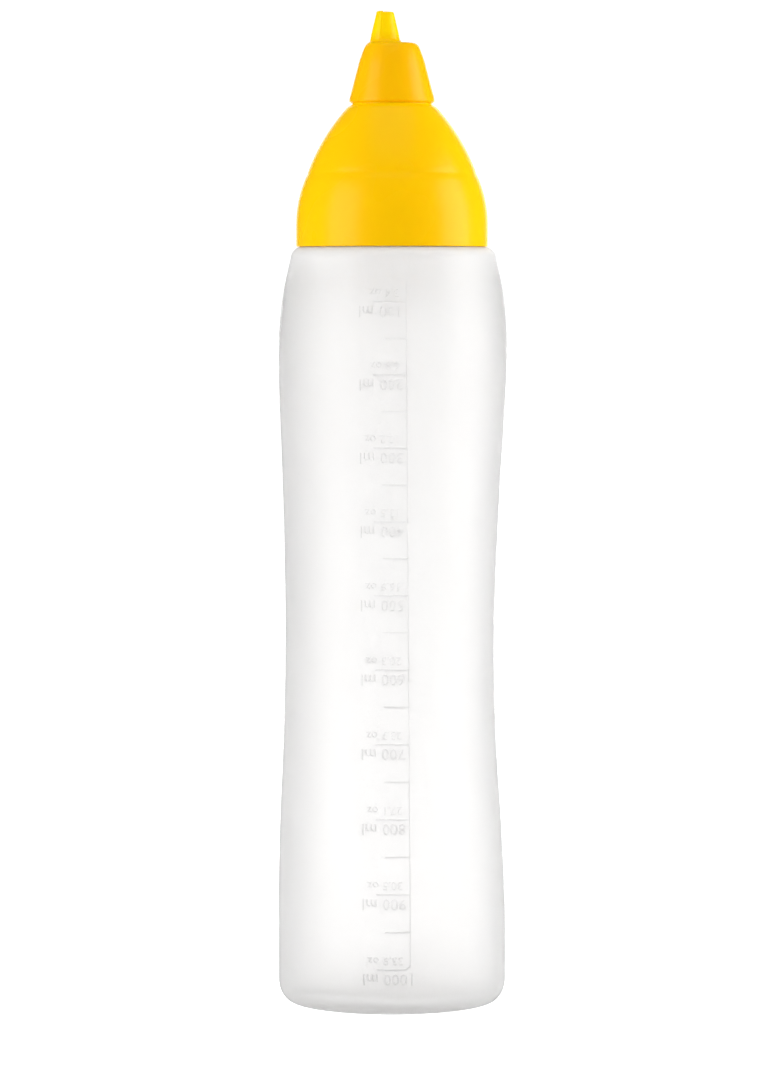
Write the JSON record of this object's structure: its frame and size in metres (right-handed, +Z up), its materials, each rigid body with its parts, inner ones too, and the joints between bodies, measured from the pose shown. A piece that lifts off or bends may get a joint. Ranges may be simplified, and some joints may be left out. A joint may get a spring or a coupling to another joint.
{
  "type": "squeeze bottle",
  "caption": "Tall soft squeeze bottle for sauces: waisted translucent body with a raised measuring scale, domed yellow screw cap and small conical hood over the outlet.",
  "frame": {"origin": "middle of the foot, on the surface the bottle stands on", "axes": "+Z up along the bottle, -Y towards the measuring scale, -X towards the side where the nib stands off the middle"},
  "size_m": [0.077, 0.077, 0.3346],
  "materials": {
    "translucent_body": "natural milky polyethylene, satin, lets light through",
    "yellow_cap": "moulded warm yellow polyethylene, soft satin",
    "yellow_hood": "moulded warm yellow polyethylene, soft satin"
  },
  "bodies": {
    "root": {"bottle": "translucent_body", "cap": "yellow_cap", "hood": "yellow_hood"}
  },
  "joints": []
}
